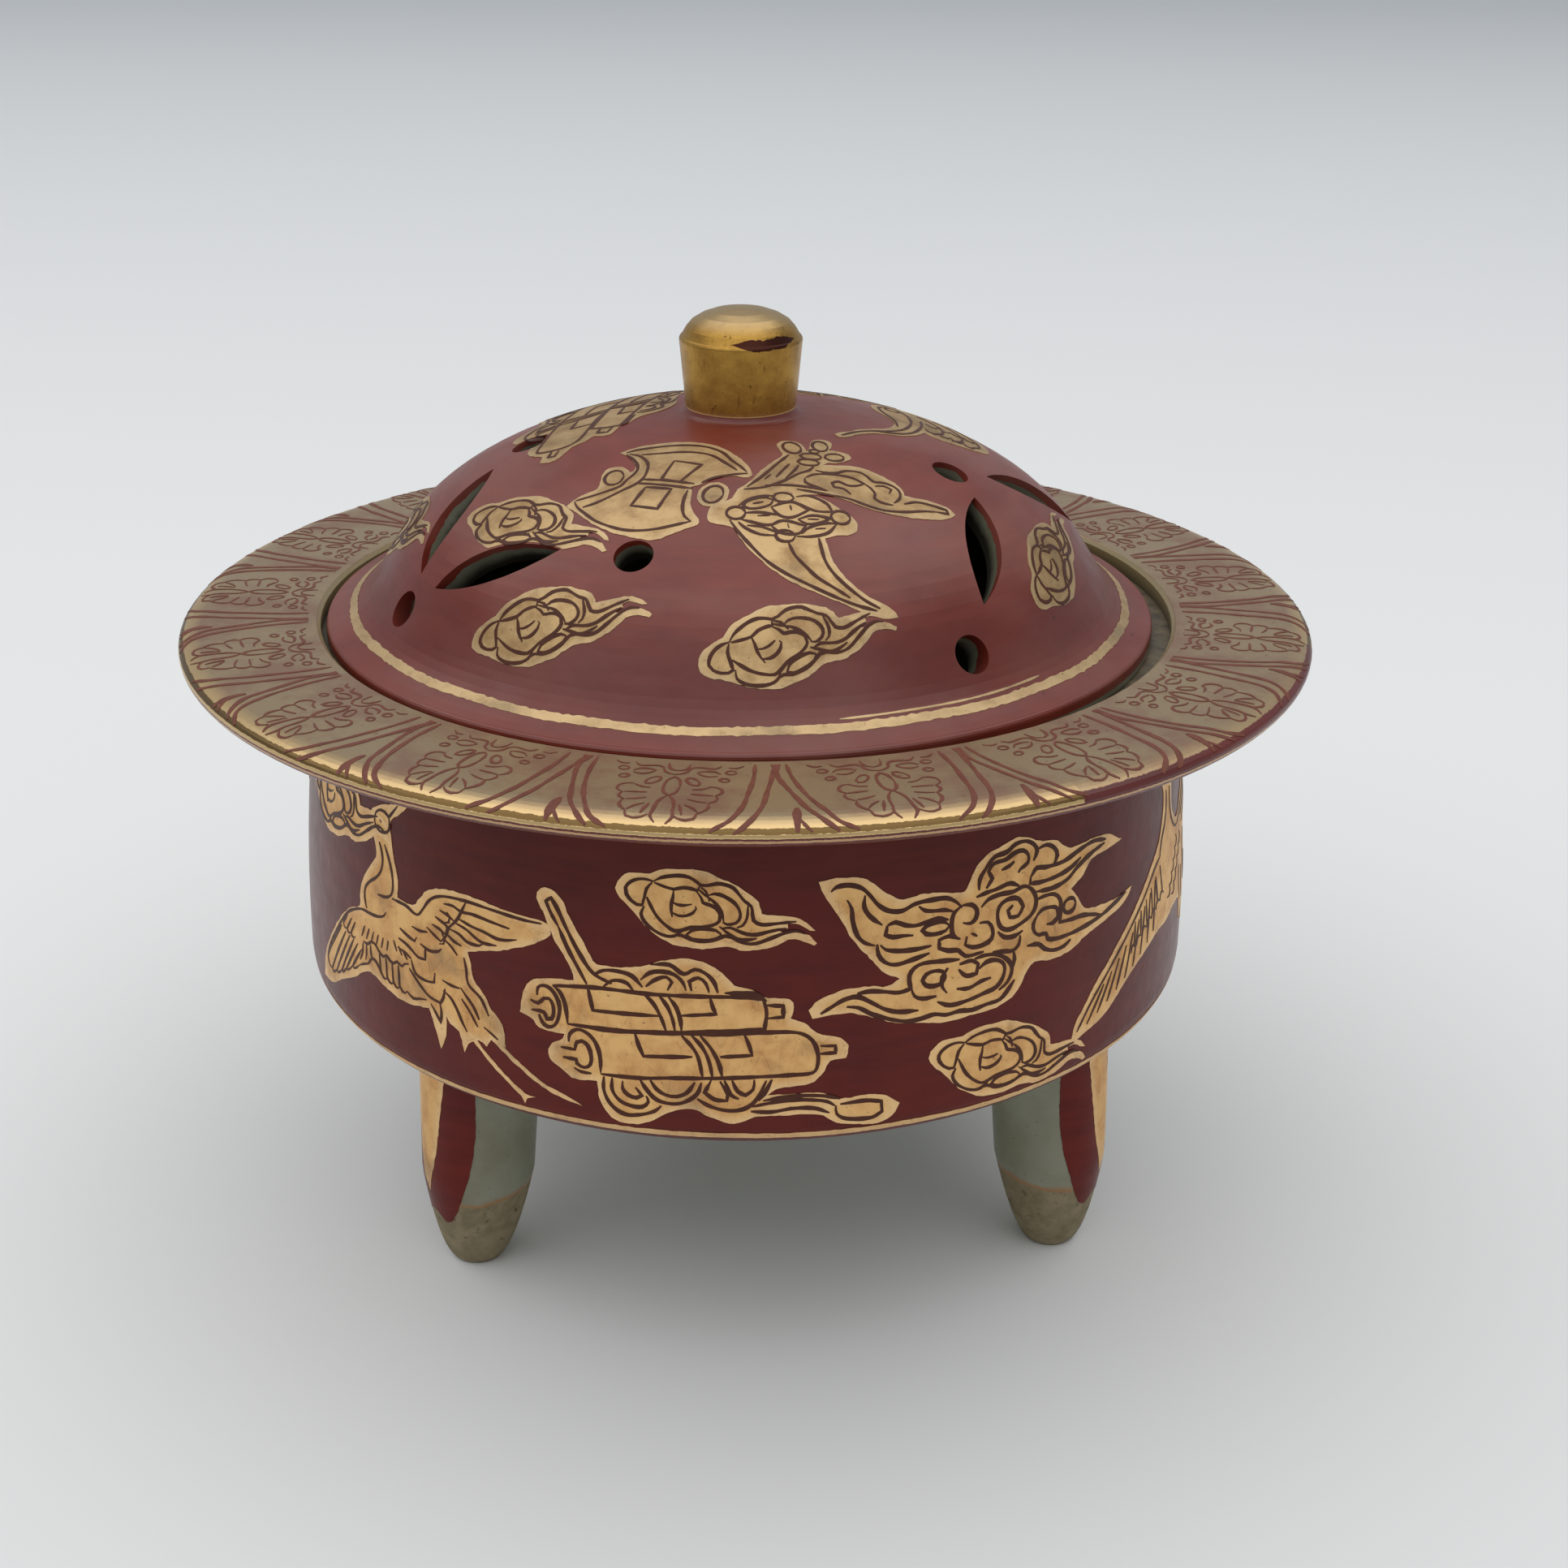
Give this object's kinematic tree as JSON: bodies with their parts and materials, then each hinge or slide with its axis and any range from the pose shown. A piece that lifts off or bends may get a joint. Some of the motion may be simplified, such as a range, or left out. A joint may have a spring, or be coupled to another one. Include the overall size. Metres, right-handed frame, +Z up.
{
  "type": "incense burner",
  "caption": "Round tripod incense burner: a flanged drum bowl holds ash and incense, and a pierced domed lid with a knob lifts off.",
  "frame": {"origin": "on the table plane, on the bowl's axis", "axes": "+Z up out of the bowl's mouth, -Y towards the front, +X to the right"},
  "size_m": [0.116, 0.116, 0.0979],
  "materials": {
    "red_glaze_bowl": "iron-red overglaze enamel with gold line work, softly glossy",
    "red_glaze_lid": "iron-red overglaze enamel with gold line work, satin",
    "gilded_rim": "worn matt gilding with red line drawing",
    "celadon_glaze": "grey-green celadon glaze",
    "gilded_knob": "worn gilding"
  },
  "bodies": {
    "burner_base": {"bowl": "red_glaze_bowl", "bowl_floor": "celadon_glaze", "rim_flange": "gilded_rim", "lid_seat": "celadon_glaze", "front_left_foot": "celadon_glaze", "front_right_foot": "celadon_glaze", "rear_foot": "celadon_glaze"},
    "lid": {"lid_dome": "red_glaze_lid", "lid_ring": "celadon_glaze", "knob": "gilded_knob"}
  },
  "joints": [
    {"name": "lid_lift", "type": "slide", "parent": "burner_base", "child": "lid", "axis": [0, 0, 1], "range_m": [0, 0.035]}
  ]
}
